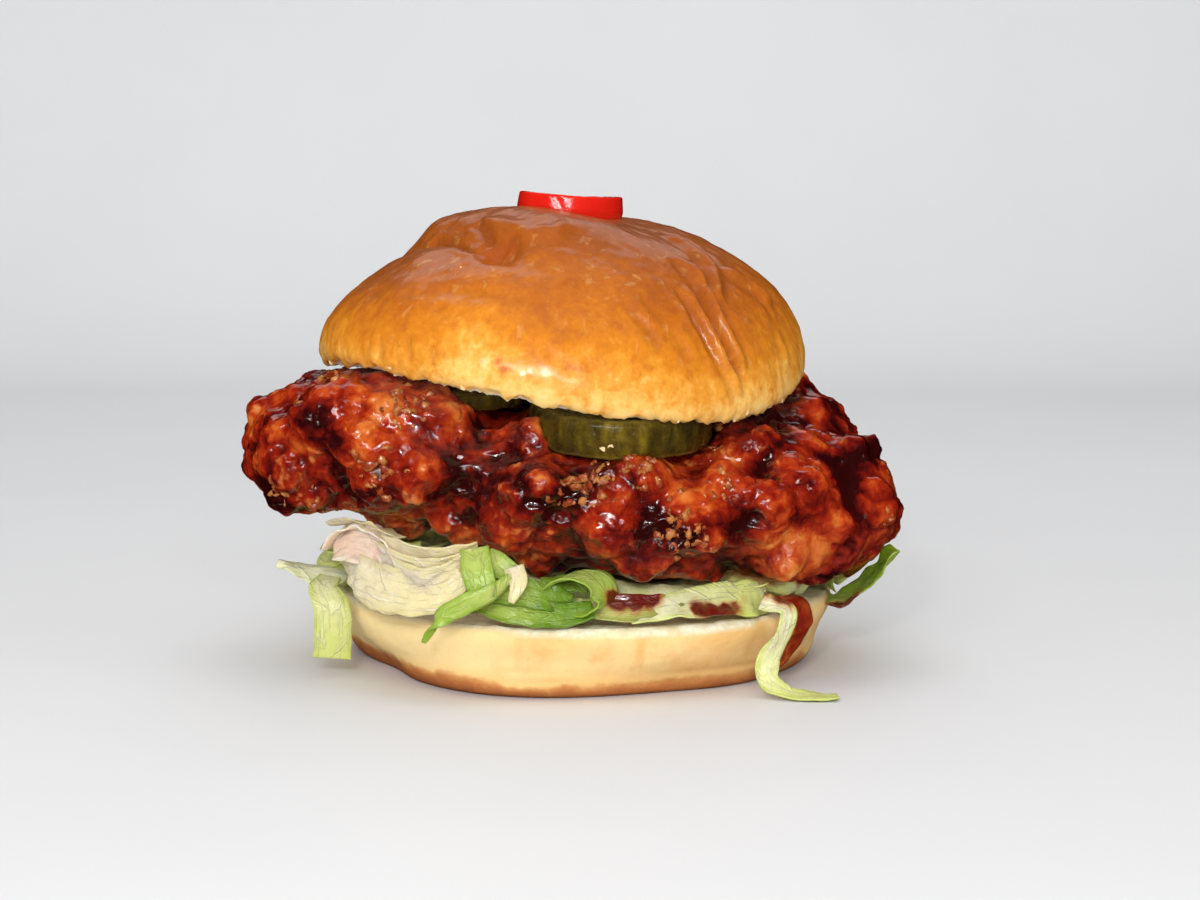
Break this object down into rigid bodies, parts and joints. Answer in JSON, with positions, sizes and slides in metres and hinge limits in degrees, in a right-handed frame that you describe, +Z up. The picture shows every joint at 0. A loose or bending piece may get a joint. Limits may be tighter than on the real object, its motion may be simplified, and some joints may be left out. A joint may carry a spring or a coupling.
{
  "type": "chicken burger",
  "caption": "Glazed fried-chicken burger: domed soft roll, craggy red-brown fillet, pickle slices, shredded lettuce and a chilli ring on top.",
  "frame": {"origin": "on the heel's flat underside, below the middle of the burger", "axes": "+X to the right as seen from the front, along the fillet's length; +Y away from the front; +Z up"},
  "size_m": [0.1517, 0.1257, 0.1072],
  "materials": {
    "crown_crust": "egg-washed brioche crust, golden brown on top and paler to the rim",
    "heel_crust": "soft pale crust, browned at the base",
    "glazed_coat": "craggy batter under a thick wet glaze",
    "pickle": "wet olive gherkin skin",
    "lettuce_cream": "crisp pale inner leaf",
    "lettuce_pale": "crisp pale green leaf",
    "lettuce_green": "fresh green leaf edge",
    "chilli": "wet glossy chilli skin"
  },
  "bodies": {
    "root": {"crown": "crown_crust", "heel": "heel_crust", "fillet": "glazed_coat", "pickle_front": "pickle", "pickle_back": "pickle", "lettuce_bed": "lettuce_pale", "lettuce_cream_leaf": "lettuce_cream", "lettuce_cream_curl": "lettuce_cream", "lettuce_left_wing": "lettuce_pale", "lettuce_left_strip": "lettuce_pale", "lettuce_green_strip": "lettuce_green", "lettuce_white_tip": "lettuce_cream", "lettuce_green_fold": "lettuce_green", "lettuce_pale_wedge": "lettuce_pale", "lettuce_ribbon": "lettuce_pale", "lettuce_right_leaf": "lettuce_green", "chilli_ring": "chilli"}
  },
  "joints": []
}
